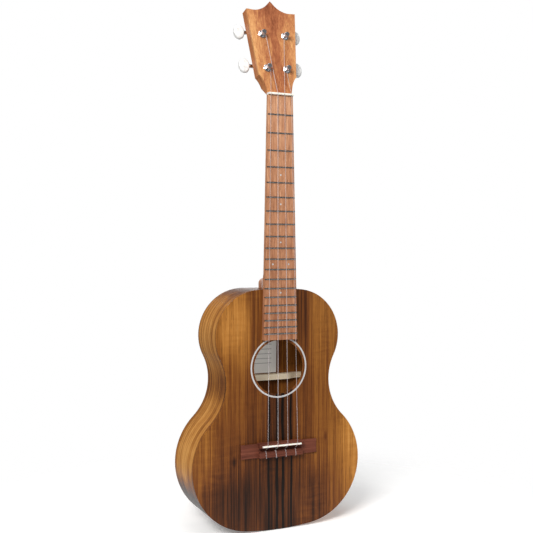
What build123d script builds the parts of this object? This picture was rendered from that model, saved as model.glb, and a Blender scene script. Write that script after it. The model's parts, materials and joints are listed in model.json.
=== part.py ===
from build123d import *
import os
from math import asin, atan2, cos, degrees, hypot, pi, radians, sin, tan

# Tenor ukulele, millimetres. X runs to the treble side, Y from the strings into the body and Z up
# the neck. The origin is on the centreline, on the fretboard's top surface, under the nut's front edge.

# ---- driving dimensions ----
SCALE_LENGTH = 431.8
FRET_COUNT = 20
BODY_JOIN_FRET = 14
NUT_HALF = 16.6              # half width of nut and fretboard at the nut
TWELFTH_HALF = 21.1          # half width of fretboard at the twelfth fret
FRETBOARD_T = 5.5
FRETBOARD_END = -303.6
NUT_T = 2.6
NUT_SLOT_Y = -1.2            # bottom of the nut's string slots
NUT_SLOT_FLAT = 1.0          # length of that bottom before it falls away to the headstock
NUT_TOP_Y = -2.8

TOP_Y = FRETBOARD_T          # front face of the soundboard
PLATE_T = 2.0                # soundboard and back
SIDE_T = 1.8
DEPTH_AT_NECK = 62.0
DEPTH_AT_TAIL = 70.0
BODY_TOP = -240.85
NECK_FLAT = 24.0             # half width of the body's flat at the neck

HOLE_Z = -338.15
HOLE_R = 33.8
RING_R = 37.4                # centreline of the inlaid ring
RING_W = 2.0
RING_T = 1.0

LINING_W = 5.0
LINING_H = 6.5
BLOCK_HALF = 22.0
NECK_BLOCK_L = 16.0
TAIL_BLOCK_L = 11.0
TENON_HALF = 7.0
TENON_L = 13.0
TENON_DEPTH = 42.0

NECK_DEPTH_NUT = 12.0        # neck wood under the fretboard
NECK_DEPTH_HEEL = 14.0
HEAD_TILT = 14.0
HEAD_T = 13.0                # headstock with its face veneer
HEADPLATE_T = 2.6
HEAD_TIP = 128.2             # along the headstock's face, from the nut line
HEAD_CORNER = (33.7, 114.15)
HEAD_EAR = (25.6, 26.15)
HEAD_START = 2.0

BRIDGE_HALF = 52.0
BRIDGE_BLOCK_HALF = 29.7
BRIDGE_FRONT = -430.8
BRIDGE_REAR = -449.05
WING_FRONT = -431.8
WING_T = 2.3
BRIDGE_TOP_Y = -3.6
BRIDGE_NOSE = 1.6            # bevel of the block's front edge
TIE_TOP_Y = -2.2
TIE_HOLE_Y = 1.2             # axis of the string holes through the tie block
TIE_BEVEL = 0.4
TRENCH_Y = 3.8
TRENCH = (-441.25, -436.9)   # its rear and front walls
SADDLE_Z = -434.4
SADDLE_T = 1.9
SADDLE_HALF = 26.3
SADDLE_TOP_Y = -6.3
SADDLE_FOOT_Y = 2.4

FRET_CROWN_W = 2.0
FRET_CROWN_H = 1.0
FRET_TANG_W = 0.6
FRET_TANG_H = 2.0
FRET_END_BEVEL = 0.5
DOT_R = 1.1
TWELFTH_DOT_X = 10.8
DOT_T = 1.2
SIDE_DOT_R = 1.0

POST_UPPER = (15.75, 80.9)   # half spacing and place along the headstock
POST_LOWER = (13.3, 35.4)
POST_R = 3.0
POST_WAIST_R = 2.4
POST_TOP = 9.0
RUNNING_GAP = 0.05
WORM_PITCH = 2.917
GEAR_TEETH = 14
WORM_OFFSET = 9.5            # worm axis to post axis, along the headstock
WORM_AXIS_N = -18.5          # worm axis behind the headstock's face
MACHINE_PLATE_T = 1.0
BUTTON_OFFSET = 23.05        # post axis to button centre
BUTTON_SIZE = (14.6, 19.6, 7.0)
STRING_ARRIVAL = 4.0         # height of the string above the face where it meets the post

# name: side (-1 bass), post, nut x, saddle x, diameter
STRINGS = {
    "g": (-1, POST_LOWER, -14.1, -20.25, 0.72),
    "c": (-1, POST_UPPER, -4.7, -6.75, 0.92),
    "e": (1, POST_UPPER, 4.7, 6.75, 0.80),
    "a": (1, POST_LOWER, 14.1, 20.25, 0.62),
}

os.makedirs("parts", exist_ok=True)


def save(name, *solids):
    """Write one node; several solids make a group of separate pieces."""
    shapes = [s for item in solids for s in item.solids()]
    node = shapes[0] if len(shapes) == 1 else Compound(children=shapes)
    export_step(node, f"parts/{name}.step")


def front_sketch(sketch, y):
    """Place a sketch drawn in X and Z on the plane at this depth."""
    return Plane.XZ.offset(-y) * sketch


def into_body(sketch, y, thickness):
    return extrude(front_sketch(sketch, y), amount=thickness, dir=(0, 1, 0))


def box(x0, x1, y0, y1, z0, z1):
    solid = Box(x1 - x0, y1 - y0, z1 - z0)
    return Pos((x0 + x1) / 2, (y0 + y1) / 2, (z0 + z1) / 2) * solid


def rod(radius, start, end):
    """Plain cylinder between two points."""
    start, end = Vector(*start), Vector(*end)
    plane = Plane(origin=start, z_dir=end - start)
    return extrude(plane * Circle(radius), amount=(end - start).length)


def fret_z(number):
    return -SCALE_LENGTH * (1 - 2 ** (-number / 12))


def board_half(z):
    """Half width of the fretboard and neck at a height."""
    return NUT_HALF + (TWELFTH_HALF - NUT_HALF) * z / fret_z(12)


# ---- body shell ----

# arcs from the neck's flat round to the tail: radius (negative where the waist is hollow) and turn
OUTLINE_ARCS = [(64.7, 15.8), (58.4, 101.3), (-66.4, 72.6), (79.4, 128.8)]


def outline_arcs(inset):
    """Start, middle and end of each arc of the treble half, drawn this far inside the outline."""
    heading = 0.0
    x, z = NECK_FLAT, BODY_TOP
    arcs = []
    for radius, turn in OUTLINE_ARCS + [(None, None)]:
        across, down = sin(heading), -cos(heading)
        if radius is None:
            # the tail: one flat arc centred on the centreline
            radius, step = -x / across, heading + pi
        else:
            step = radians(turn) if radius > 0 else -radians(turn)
        centre_x, centre_z = x + radius * across, z + radius * down
        reach = radius - inset
        headings = [heading - step * part for part in (0, 0.5, 1)]
        arcs.append([(centre_x - reach * sin(angle), centre_z + reach * cos(angle)) for angle in headings])
        heading -= step
        x, z = centre_x - radius * sin(heading), centre_z + radius * cos(heading)
    return arcs


BODY_BOTTOM = outline_arcs(0)[-1][-1][1]


def body_face(inset=0.0):
    top = BODY_TOP - inset
    edges = [Line((-NECK_FLAT, top), (NECK_FLAT, top))]
    for start, middle, end in outline_arcs(inset):
        for side in (-1, 1):
            edges.append(ThreePointArc(*[(side * x, z) for x, z in (start, middle, end)]))
    return make_face(edges)


def back_plane(inset):
    """Plane parallel to the back's outer face, this far inside it; its normal points out of the body."""
    drop = BODY_TOP - BODY_BOTTOM
    normal = Vector(0, drop, DEPTH_AT_TAIL - DEPTH_AT_NECK).normalized()
    point = Vector(0, TOP_Y + DEPTH_AT_NECK, BODY_TOP) - normal * inset
    return Plane(origin=point, x_dir=(1, 0, 0), z_dir=normal)


def back_slab(outer, inner):
    """Everything between two depths inside the back's outer face."""
    thickness = inner - outer
    return back_plane(inner) * Pos(0, 200, thickness / 2) * Box(400, 900, thickness)


def inside_back(solid, inset):
    """Trim a solid where it would reach nearer to the back's outer face than this."""
    return solid - back_plane(inset) * Pos(0, 200, 60) * Box(500, 900, 120)


def half_space(side):
    return box(min(0, side * 200), max(0, side * 200), -50, 150, -700, 0)


BODY = body_face()
INNER = body_face(SIDE_T)
LINED = body_face(SIDE_T + LINING_W)
DEEP = 110.0


def soundboard():
    plate = into_body(BODY, TOP_Y, PLATE_T)
    plate -= into_body(Pos(0, HOLE_Z) * Circle(HOLE_R), TOP_Y, PLATE_T)
    return plate - soundhole_ring()


def soundhole_ring():
    ring = Circle(RING_R + RING_W / 2) - Circle(RING_R - RING_W / 2)
    return into_body(Pos(0, HOLE_Z) * ring, TOP_Y, RING_T)


def back():
    return into_body(BODY, TOP_Y, DEEP) & back_slab(0, PLATE_T)


def tenon():
    y0 = TOP_Y + PLATE_T
    return box(-TENON_HALF, TENON_HALF, y0, y0 + TENON_DEPTH, BODY_TOP - TENON_L, BODY_TOP)


def rib(side):
    ring = into_body(BODY, TOP_Y + PLATE_T, DEEP) - into_body(INNER, TOP_Y + PLATE_T, DEEP)
    return (inside_back(ring, PLATE_T) & half_space(side)) - tenon()


def end_block(z0, z1):
    """Block glued between the plates against the inside of the ribs."""
    block = into_body(INNER, TOP_Y + PLATE_T, DEEP) & box(-BLOCK_HALF, BLOCK_HALF, 0, 150, z0, z1)
    return inside_back(block, PLATE_T)


def neck_block():
    inside = BODY_TOP - SIDE_T
    return end_block(inside - NECK_BLOCK_L, inside + 1) - tenon()


def tail_block():
    return end_block(BODY_BOTTOM, BODY_BOTTOM + SIDE_T + TAIL_BLOCK_L)


def lining(side, at_back):
    """Glue strip along the corner of a rib and a plate, between the two blocks."""
    depth = DEEP if at_back else LINING_H
    solid = into_body(INNER, TOP_Y + PLATE_T, depth) - into_body(LINED, TOP_Y + PLATE_T, depth)
    if at_back:
        solid &= back_slab(PLATE_T, PLATE_T + LINING_H)
    return (solid & half_space(side)) - box(-BLOCK_HALF, BLOCK_HALF, 0, 150, -700, 0)


# ---- bracing ----

BRACE_FOOT = 2.5
BRACE_TAPER = 26.0
BRIDGE_PLATE = (54.0, -422.4, -457.4, 2.0)     # half width, front, rear, thickness
FAN_Z = -452.4
FAN_BRACES = ((-29.0, -9.0), (0.0, 0.0), (29.0, 9.0))    # x of the middle, lean in degrees
FAN_SHAPE = (62.0, 5.0, 7.0)                   # half length, width, height
LABEL_Z = -327.4
LABEL_SIZE = (50.0, 53.0, 0.3)


def brace_bar(half_length, width, height):
    """Brace lying along local X with its foot on local Y = 0 and scooped ends."""
    flat = half_length - BRACE_TAPER
    scoop = half_length - BRACE_TAPER * 0.45
    rise = BRACE_FOOT + (height - BRACE_FOOT) * 0.32
    top = Line((-flat, height), (flat, height))
    right = Spline((flat, height), (scoop, rise), (half_length, BRACE_FOOT), tangents=[(1, 0), (1, 0)])
    left = mirror(right, about=Plane.YZ)
    ends = Polyline((half_length, BRACE_FOOT), (half_length, 0), (-half_length, 0),
                    (-half_length, BRACE_FOOT))
    return extrude(make_face([top, right, ends, left]), amount=width / 2, both=True)


def top_brace(z, half_length, width=6.0, height=9.0):
    plane = Plane(origin=(0, TOP_Y + PLATE_T, z), x_dir=(1, 0, 0), z_dir=(0, 0, 1))
    return plane * brace_bar(half_length, width, height)


def back_brace(z, half_length, width=7.4, height=9.0):
    plane = back_plane(PLATE_T)
    along = (z - plane.origin.Z) / plane.y_dir.Z
    centre = plane.origin + plane.y_dir * along
    seat = Plane(origin=centre, x_dir=(1, 0, 0), z_dir=plane.y_dir)
    return seat * brace_bar(half_length, width, height)


def bridge_plate():
    half, front, rear, thickness = BRIDGE_PLATE
    y0 = TOP_Y + PLATE_T
    return box(-half, half, y0, y0 + thickness, rear, front)


def fan_braces():
    """Three braces fanning below the soundhole, notched over the bridge plate."""
    braces = []
    for x, lean in FAN_BRACES:
        along = Vector(sin(radians(lean)), 0, -cos(radians(lean)))
        seat = Plane(origin=(x, TOP_Y + PLATE_T, FAN_Z), x_dir=along, z_dir=along.cross(Vector(0, 1, 0)))
        braces.append(seat * brace_bar(*FAN_SHAPE) - bridge_plate())
    return braces


def label():
    """Paper label glued inside the back, under the soundhole."""
    plane = back_plane(PLATE_T)
    along = (LABEL_Z - plane.origin.Z) / plane.y_dir.Z
    return plane * Pos(0, along, -LABEL_SIZE[2] / 2) * Box(*LABEL_SIZE)


# ---- neck ----

# the wood under the veneer meets the neck's flat at the nut's rear face
HEAD_FACE = Plane(
    origin=(0, FRETBOARD_T - NUT_T * tan(radians(HEAD_TILT)) - HEADPLATE_T / cos(radians(HEAD_TILT)), 0),
    x_dir=(1, 0, 0),
    z_dir=(0, -cos(radians(HEAD_TILT)), sin(radians(HEAD_TILT))),
)


def neck_section(z):
    """D shape of the neck at a height, flat against the fretboard."""
    half = board_half(z)
    depth = NECK_DEPTH_NUT + (NECK_DEPTH_HEEL - NECK_DEPTH_NUT) * z / BODY_TOP
    plane = Plane(origin=(0, FRETBOARD_T, z), x_dir=(1, 0, 0), z_dir=(0, 0, 1))
    return plane * round_back(half, depth)


def round_back(half, depth):
    """Flat front of this half width with a round back of this depth."""
    return make_face([Line((half, 0), (-half, 0)), ThreePointArc((-half, 0), (0, depth), (half, 0))])


HEEL_SECTIONS = [        # depth, half width, height of the rounded front above the body join
    (7.5, 20.4, 34.0), (17.0, 17.2, 25.0), (28.0, 12.6, 18.0), (40.0, 9.2, 14.4), (53.0, 7.0, 12.8),
]
HEEL_FULLNESS = 0.8      # how square the rounded front is


def heel():
    faces = []
    for y, half, reach in HEEL_SECTIONS:
        flat = Line((half, BODY_TOP), (-half, BODY_TOP))
        x, rise = half * HEEL_FULLNESS, reach * HEEL_FULLNESS
        nose = Spline((-half, BODY_TOP), (-x, BODY_TOP + rise), (0, BODY_TOP + reach), (x, BODY_TOP + rise),
                      (half, BODY_TOP), tangents=[(0, 1), (0, -1)])
        faces.append(front_sketch(make_face([flat, nose]), y))
    return loft(faces)


HEAD_FLARE = [(18.2, 11.2), (22.1, 21.6)]      # points of the curve from the nut to the ear
HEAD_CREST = [(22.4, 113.8), (9.3, 118.8)]     # points of the curve from the corner to the tip


def headstock_slab(front, rear):
    """The headstock's outline between two depths behind its face."""
    flare = Spline((NUT_HALF, HEAD_START), *HEAD_FLARE, HEAD_EAR)
    side = Line(HEAD_EAR, HEAD_CORNER)
    crest = Spline(HEAD_CORNER, *HEAD_CREST, (0, HEAD_TIP), tangents=[(-1, 0.02), (-1, 1.1)])
    half = [flare, side, crest]
    foot = Line((-NUT_HALF, HEAD_START), (NUT_HALF, HEAD_START))
    outline = [foot] + half + [mirror(edge, about=Plane.YZ) for edge in half]
    return extrude(HEAD_FACE.offset(-front) * make_face(outline), amount=front - rear)


CARVE_END = 28.0             # along the face: above this the headstock's sides are square
CARVE_END_SHAPE = (37.0, 26.0)


def carved_off():
    """What the neck's round back takes off the sides of the headstock as it fades out at the ears."""
    def section(s, half, depth):
        origin = HEAD_FACE.origin + HEAD_FACE.y_dir * s - HEAD_FACE.z_dir * HEADPLATE_T
        return Plane(origin=origin, x_dir=(1, 0, 0), z_dir=HEAD_FACE.y_dir) * round_back(half, depth)

    nut_end = section(HEAD_START, NUT_HALF, NECK_DEPTH_NUT)
    kept = loft([nut_end, section(CARVE_END, *CARVE_END_SHAPE)], ruled=True)
    length = CARVE_END - HEAD_START
    around = HEAD_FACE * Pos(0, HEAD_START + length / 2, -HEADPLATE_T - 20) * Box(100, length, 40)
    return around - kept


def post_bores():
    """Bushing seats and post holes through the headstock."""
    bores = []
    for _name, _side, x, s in post_places():
        bores.append(HEAD_FACE * Pos(x, s, -BUSHING_DEPTH / 2) * Cylinder(BUSHING_R, BUSHING_DEPTH))
        bores.append(HEAD_FACE * Pos(x, s, -HEAD_T) * Cylinder(POST_HOLE_R, 2 * HEAD_T))
    return bores


def headplate():
    """Face veneer of the headstock, butted against the nut."""
    return headstock_slab(0, HEADPLATE_T) - box(-40, 40, -20, 20, -50, NUT_T) - post_bores()


def post_places():
    """Each string's name, side and post centre on the headstock's face."""
    for name, (side, (x, s), *_rest) in STRINGS.items():
        yield name, side, side * x, s


BUSHING_R = 4.0
BUSHING_DEPTH = 6.0
FLANGE_R = 5.0
FLANGE_T = 1.1
POST_HOLE_R = 3.6
PLATE_SCREW_S = (-11.2, 15.6)
PLATE_SCREW_R = 1.1
PLATE_SCREW_L = 8.0


def neck():
    shaft = loft([neck_section(9.0), neck_section(BODY_TOP)], ruled=True)
    in_front = HEAD_FACE * Pos(0, 100, 20 - HEADPLATE_T) * Box(100, 200, 40)
    head = headstock_slab(HEADPLATE_T, HEAD_T) - carved_off() - box(-40, 40, -20, FRETBOARD_T, -50, NUT_T)
    wood = shaft - in_front + head + heel() + tenon() - post_bores()
    for _name, _side, x, s in post_places():
        for screw_s in PLATE_SCREW_S:
            wood -= HEAD_FACE * Pos(x, s + screw_s, -HEAD_T) * Cylinder(PLATE_SCREW_R, 2 * PLATE_SCREW_L)
    return wood


# ---- fretboard ----

DOT_FRETS = (5, 7, 10, 12, 15)
SIDE_DOT_Y = 3.4


def dot_places():
    """X and Z of each front dot: one in the middle of a space, two at the twelfth fret."""
    for number in DOT_FRETS:
        z = (fret_z(number - 1) + fret_z(number)) / 2
        for x in ((-TWELFTH_DOT_X, TWELFTH_DOT_X) if number == 12 else (0.0,)):
            yield x, z


def position_dots():
    return [Pos(x, DOT_T / 2, z) * Rot(X=90) * Cylinder(DOT_R, DOT_T) for x, z in dot_places()]


def side_dots():
    dots = []
    for number in DOT_FRETS:
        z = (fret_z(number - 1) + fret_z(number)) / 2
        edge = -board_half(z)
        dots.append(rod(SIDE_DOT_R, (edge + 0.05, SIDE_DOT_Y, z), (edge + 2.5, SIDE_DOT_Y, z)))
    return dots


def tang(number):
    z = fret_z(number)
    half = board_half(z)
    return box(-half, half, 0, FRET_TANG_H, z - FRET_TANG_W / 2, z + FRET_TANG_W / 2)


def fretboard():
    end_half = board_half(FRETBOARD_END)
    outline = Polyline((-NUT_HALF, 0), (NUT_HALF, 0), (end_half, FRETBOARD_END), (-end_half, FRETBOARD_END),
                       close=True)
    wood = into_body(make_face(outline), 0, FRETBOARD_T)
    for number in range(1, FRET_COUNT + 1):
        z = fret_z(number)
        wood -= box(-40, 40, 0, FRET_TANG_H, z - FRET_TANG_W / 2, z + FRET_TANG_W / 2)
    wood -= position_dots()
    return wood - side_dots()


def fret(number):
    """Fret wire: a rounded crown with bevelled ends on a tang that fills its slot."""
    z = fret_z(number)
    half = board_half(z)
    section = make_face([
        Line((-FRET_CROWN_W / 2, 0), (FRET_CROWN_W / 2, 0)),
        ThreePointArc((FRET_CROWN_W / 2, 0), (0, FRET_CROWN_H), (-FRET_CROWN_W / 2, 0)),
    ])
    across = Plane(origin=(-half, 0, z), x_dir=(0, 0, 1), z_dir=(1, 0, 0))
    crown = extrude(across * section, amount=2 * half)
    top = -FRET_CROWN_H - 0.1
    inner = half - FRET_END_BEVEL
    bevel = make_face(Polyline((-half, 0), (half, 0), (inner, top), (-inner, top), close=True))
    ends = extrude(Plane.XY.offset(z) * bevel, amount=FRET_CROWN_W, both=True)
    return (crown & ends) + tang(number)


NUT_SLOT_RAMP = (1.4, 2.2)   # how far the slot's floor falls, and over what length, towards the headstock
NUT_SLOT_PLAY = 0.5
NUT_EDGE_R = 0.8


def nut():
    blank = box(-NUT_HALF, NUT_HALF, NUT_TOP_Y, FRETBOARD_T, 0, NUT_T)
    blank = fillet(blank.edges().filter_by(Axis.X).group_by(Axis.Y)[0], NUT_EDGE_R)
    ramp_y, ramp_z = NUT_SLOT_Y + NUT_SLOT_RAMP[0], NUT_SLOT_FLAT + NUT_SLOT_RAMP[1]
    slot = make_face(Polyline((-9, -1), (NUT_SLOT_Y, -1), (NUT_SLOT_Y, NUT_SLOT_FLAT), (ramp_y, ramp_z),
                              (-9, ramp_z), close=True))
    for _side, _post, nut_x, _saddle_x, diameter in STRINGS.values():
        across = Plane(origin=(nut_x, 0, 0), x_dir=(0, 1, 0), z_dir=(1, 0, 0))
        blank -= extrude(across * slot, amount=(diameter + NUT_SLOT_PLAY) / 2, both=True)
    return blank


# ---- bridge ----

TIE_HOLE_GAP = 0.15
TRENCH_RAMP = (1.2, 0.9)     # depth and length of the slope from the bridge's top into the trench
WING_EDGE_R = 1.0


def bridge():
    wing = box(-BRIDGE_HALF, BRIDGE_HALF, TOP_Y - WING_T, TOP_Y, BRIDGE_REAR, WING_FRONT)
    wing = fillet(wing.edges().filter_by(Axis.Z).group_by(Axis.Y)[0], WING_EDGE_R)
    rear_wall, front_wall = TRENCH
    ramp_y, ramp_z = BRIDGE_TOP_Y + TRENCH_RAMP[0], front_wall + TRENCH_RAMP[1]
    profile = make_face(Polyline(
        (TOP_Y, BRIDGE_FRONT), (BRIDGE_TOP_Y + BRIDGE_NOSE, BRIDGE_FRONT),
        (BRIDGE_TOP_Y, BRIDGE_FRONT - BRIDGE_NOSE), (BRIDGE_TOP_Y, ramp_z), (ramp_y, front_wall),
        (TRENCH_Y, front_wall), (TRENCH_Y, rear_wall), (TIE_TOP_Y + TIE_BEVEL, rear_wall),
        (TIE_TOP_Y, rear_wall - TIE_BEVEL), (TIE_TOP_Y, BRIDGE_REAR + TIE_BEVEL),
        (TIE_TOP_Y + TIE_BEVEL, BRIDGE_REAR), (TOP_Y, BRIDGE_REAR), close=True))
    across = Plane(origin=(0, 0, 0), x_dir=(0, 1, 0), z_dir=(1, 0, 0))
    wood = wing + extrude(across * profile, amount=BRIDGE_BLOCK_HALF, both=True)
    half_t = SADDLE_T / 2
    wood -= box(-SADDLE_HALF, SADDLE_HALF, -10, SADDLE_FOOT_Y, SADDLE_Z - half_t, SADDLE_Z + half_t)
    for _side, _post, _nut_x, x, diameter in STRINGS.values():
        ends = [(x, TIE_HOLE_Y, z) for z in (BRIDGE_REAR - 1, rear_wall + 1)]
        wood -= rod(diameter / 2 + TIE_HOLE_GAP, *ends)
    return wood


def saddle():
    half_t = SADDLE_T / 2
    section = make_face([
        Polyline((SADDLE_TOP_Y + half_t, half_t), (SADDLE_FOOT_Y, half_t), (SADDLE_FOOT_Y, -half_t),
                 (SADDLE_TOP_Y + half_t, -half_t)),
        ThreePointArc((SADDLE_TOP_Y + half_t, -half_t), (SADDLE_TOP_Y, 0), (SADDLE_TOP_Y + half_t, half_t)),
    ])
    across = Plane(origin=(0, 0, SADDLE_Z), x_dir=(0, 1, 0), z_dir=(1, 0, 0))
    return extrude(across * section, amount=SADDLE_HALF, both=True)


# ---- strings ----

STRING_GAP = 0.05
BREAK_ANGLE = radians(58.0)  # drop of the string behind the saddle
TAIL_DROP = 2.6              # how far the tied end hangs into the trench
TAIL_GAP = 0.35              # between the tied end and the string beside it
TURN_GAP = 0.12              # between the turn and the post's waist
BEFORE_POST = 9.0            # length of the straight run that reaches the post
UNDER_BEND_R, NUT_BEND_R, POST_BEND_R = 1.6, 6.0, 30.0


def head_point(x, s, n):
    """Point given across, along and in front of the headstock's face."""
    return HEAD_FACE.origin + HEAD_FACE.x_dir * x + HEAD_FACE.y_dir * s + HEAD_FACE.z_dir * n


def string(name):
    """A string from its tied end, round the tie block and over the saddle, to the turn on its post."""
    side, (post_x, post_s), nut_x, saddle_x, diameter = STRINGS[name]
    radius = diameter / 2
    clear = radius + STRING_GAP
    # the tied end lies across the tie block's top, beside the string that comes from the saddle
    beside = saddle_x - diameter - TAIL_GAP
    top_y, rear_z, front_z = TIE_TOP_Y - clear, BRIDGE_REAR - clear, TRENCH[0] + clear
    tie = [Vector(beside, top_y + TAIL_DROP, front_z), Vector(beside, top_y, front_z),
           Vector(saddle_x, top_y, rear_z), Vector(saddle_x, TIE_HOLE_Y, rear_z)]
    # the string bends round the saddle's crown at an arc one string radius above it
    crown_r = SADDLE_T / 2 + clear
    crown_z = SADDLE_Z - crown_r * tan(BREAK_ANGLE / 2)
    crown = Vector(saddle_x, SADDLE_TOP_Y + SADDLE_T / 2 - crown_r, crown_z)
    bend = Vector(saddle_x, TIE_HOLE_Y, crown.Z - (TIE_HOLE_Y - crown.Y) / tan(BREAK_ANGLE))
    over_nut = Vector(nut_x, NUT_SLOT_Y - clear, NUT_T / 2)
    turn_r = POST_WAIST_R + TURN_GAP + radius
    dx, ds = side * post_x - nut_x, post_s
    # the string meets the post on the side that faces the centreline
    lean = atan2(dx, ds) - side * asin(turn_r / hypot(dx, ds))
    along = (sin(lean), cos(lean))
    inner = (-side * cos(lean), side * sin(lean))
    touch = (side * post_x + inner[0] * turn_r, post_s + inner[1] * turn_r)
    meet = head_point(touch[0], touch[1], STRING_ARRIVAL)
    before = head_point(*[t - a * BEFORE_POST for t, a in zip(touch, along)], STRING_ARRIVAL)
    tie_bend = radius + TIE_HOLE_GAP
    bends = [tie_bend] * 3 + [UNDER_BEND_R, crown_r, NUT_BEND_R, POST_BEND_R]
    run = FilletPolyline(*tie, bend, crown, over_nut, before, meet, radius=bends)
    far = (side * post_x - inner[0] * turn_r, post_s - inner[1] * turn_r)
    top = (side * post_x + along[0] * turn_r, post_s + along[1] * turn_r)
    turn = ThreePointArc(meet, head_point(*top, STRING_ARRIVAL), head_point(*far, STRING_ARRIVAL))
    start_plane = Plane(origin=tie[0], z_dir=(0, -1, 0))
    return sweep(start_plane * Circle(radius), path=Wire([*run.edges(), turn]))


# ---- tuning machines ----

def revolved(profile):
    """Turn a profile of radius and height about the local Z axis."""
    return revolve(Plane.XZ * make_face(Polyline(*profile, close=True)), axis=Axis.Z)


def machine_place(x, s):
    return HEAD_FACE * Pos(x, s, 0)


def bushing():
    bore = POST_R + RUNNING_GAP
    return revolved([(bore, -BUSHING_DEPTH), (BUSHING_R, -BUSHING_DEPTH), (BUSHING_R, 0), (FLANGE_R, 0),
                     (FLANGE_R, FLANGE_T * 0.45), (FLANGE_R - 0.8, FLANGE_T), (bore, FLANGE_T)])


PLATE_BACK = -HEAD_T - MACHINE_PLATE_T
GEAR_T = 3.4
GEAR_PITCH_R = GEAR_TEETH * WORM_PITCH / (2 * pi)
GEAR_TIP_R = GEAR_PITCH_R + 0.8
GEAR_ROOT_R = GEAR_PITCH_R - 1.1
TOOTH_FOOT, TOOTH_TIP, TOOTH_SUNK = 0.95, 0.3, 0.6     # half widths, and depth into the wheel
GEAR_SEAT_R = 2.2
GEAR_SCREW_R = 1.0
WORM_CORE_R = 2.0
WORM_TIP_R = 3.75
WORM_JOURNAL_R = 1.5
EAR_IN = 5.4
EAR_T = 1.2
EAR_R = 3.4
GEAR_FRONT = WORM_AXIS_N + GEAR_T / 2
GEAR_BACK = WORM_AXIS_N - GEAR_T / 2
POST_COLLAR_R = 3.6
STRING_HOLE_N = 8.0
STRING_HOLE_R = 0.5
POST_FOOT_GAP = 0.1
POST_WAIST_N = (2.8, 3.3, 7.4, 7.9)     # where the waist begins, is full, is full, and ends
POST_CROWN = 0.7
GEAR_SCREW_L = 3.5


def post():
    """String post: collar, running length, waist for the turns and a crowned top with a string hole."""
    low, waist_low, waist_high, high = POST_WAIST_N
    foot = PLATE_BACK - POST_FOOT_GAP
    turned = revolved([
        (0, GEAR_BACK), (GEAR_SEAT_R, GEAR_BACK), (GEAR_SEAT_R, GEAR_FRONT), (POST_COLLAR_R, GEAR_FRONT),
        (POST_COLLAR_R, foot), (POST_R, foot), (POST_R, low), (POST_WAIST_R, waist_low),
        (POST_WAIST_R, waist_high), (POST_R, high), (POST_R, POST_TOP - POST_CROWN),
        (POST_R - POST_CROWN, POST_TOP), (0, POST_TOP),
    ])
    turned -= Pos(0, 0, GEAR_BACK) * Cylinder(GEAR_SCREW_R, 2 * GEAR_SCREW_L)
    return turned - Pos(0, 0, STRING_HOLE_N) * Rot(Y=90) * Cylinder(STRING_HOLE_R, 20)


def gear():
    """Worm wheel: fourteen teeth set at the worm's lead angle."""
    lead = degrees(atan2(WORM_PITCH, 2 * pi * (WORM_OFFSET - GEAR_PITCH_R)))
    foot_r = GEAR_ROOT_R - TOOTH_SUNK
    tooth = make_face(Polyline((-TOOTH_FOOT, foot_r), (TOOTH_FOOT, foot_r), (TOOTH_TIP, GEAR_TIP_R),
                               (-TOOTH_TIP, GEAR_TIP_R), close=True))
    tooth = Rot(Y=-lead) * extrude(tooth, amount=GEAR_T / 2 - 0.1, both=True)
    wheel = Cylinder(GEAR_ROOT_R, GEAR_T)
    step = 360 / GEAR_TEETH
    for index in range(GEAR_TEETH):
        wheel += Rot(Z=(index + 0.5) * step) * tooth
    wheel -= Cylinder(GEAR_SEAT_R, 2 * GEAR_T)
    return Pos(0, 0, WORM_AXIS_N) * wheel


def slotted_head(radius, height):
    head = revolved([(0, 0), (radius, 0), (radius, height * 0.5), (radius * 0.6, height), (0, height)])
    return head - Pos(0, 0, height) * Box(3 * radius, 0.6, height)


GEAR_SCREW_HEAD = (2.6, 1.2)            # radius, height
PLATE_SCREW_HEAD = (2.1, 1.3)
MACHINE_PLATE_SIZE = (13.4, 34.5)
MACHINE_PLATE_MIDDLE = 2.2              # along the headstock from the post
MACHINE_PLATE_CORNER = 3.0


def gear_screw():
    head = Rot(X=180) * slotted_head(*GEAR_SCREW_HEAD)
    shank = Pos(0, 0, GEAR_SCREW_L / 2) * Cylinder(GEAR_SCREW_R, GEAR_SCREW_L)
    return Pos(0, 0, GEAR_BACK) * (head + shank)


def machine_plate():
    """Base plate with two ears that carry the worm shaft."""
    middle_n = -HEAD_T - MACHINE_PLATE_T / 2
    sheet = Pos(0, MACHINE_PLATE_MIDDLE, middle_n) * Box(*MACHINE_PLATE_SIZE, MACHINE_PLATE_T)
    sheet = fillet(sheet.edges().filter_by(Axis.Z), MACHINE_PLATE_CORNER)
    sheet -= Pos(0, 0, -HEAD_T) * Cylinder(POST_R + RUNNING_GAP, 4 * MACHINE_PLATE_T)
    for s in PLATE_SCREW_S:
        sheet -= Pos(0, s, -HEAD_T) * Cylinder(PLATE_SCREW_R, 4 * MACHINE_PLATE_T)
    for side in (-1, 1):
        middle = side * (EAR_IN + EAR_T / 2)
        web = Pos(middle, WORM_OFFSET, (WORM_AXIS_N + PLATE_BACK) / 2)
        ear = web * Box(EAR_T, 2 * EAR_R, PLATE_BACK - WORM_AXIS_N)
        ear += Pos(middle, WORM_OFFSET, WORM_AXIS_N) * Rot(Y=90) * Cylinder(EAR_R, EAR_T)
        ear -= Pos(middle, WORM_OFFSET, WORM_AXIS_N) * Rot(Y=90) * Cylinder(WORM_JOURNAL_R + RUNNING_GAP, 4)
        sheet += ear
    return sheet


def plate_screws():
    screws = []
    for s in PLATE_SCREW_S:
        head = Rot(X=180) * slotted_head(*PLATE_SCREW_HEAD)
        shank = Pos(0, 0, PLATE_SCREW_L / 2) * Cylinder(PLATE_SCREW_R, PLATE_SCREW_L)
        screws.append(Pos(0, s, PLATE_BACK) * (head + shank))
    return screws


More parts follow.
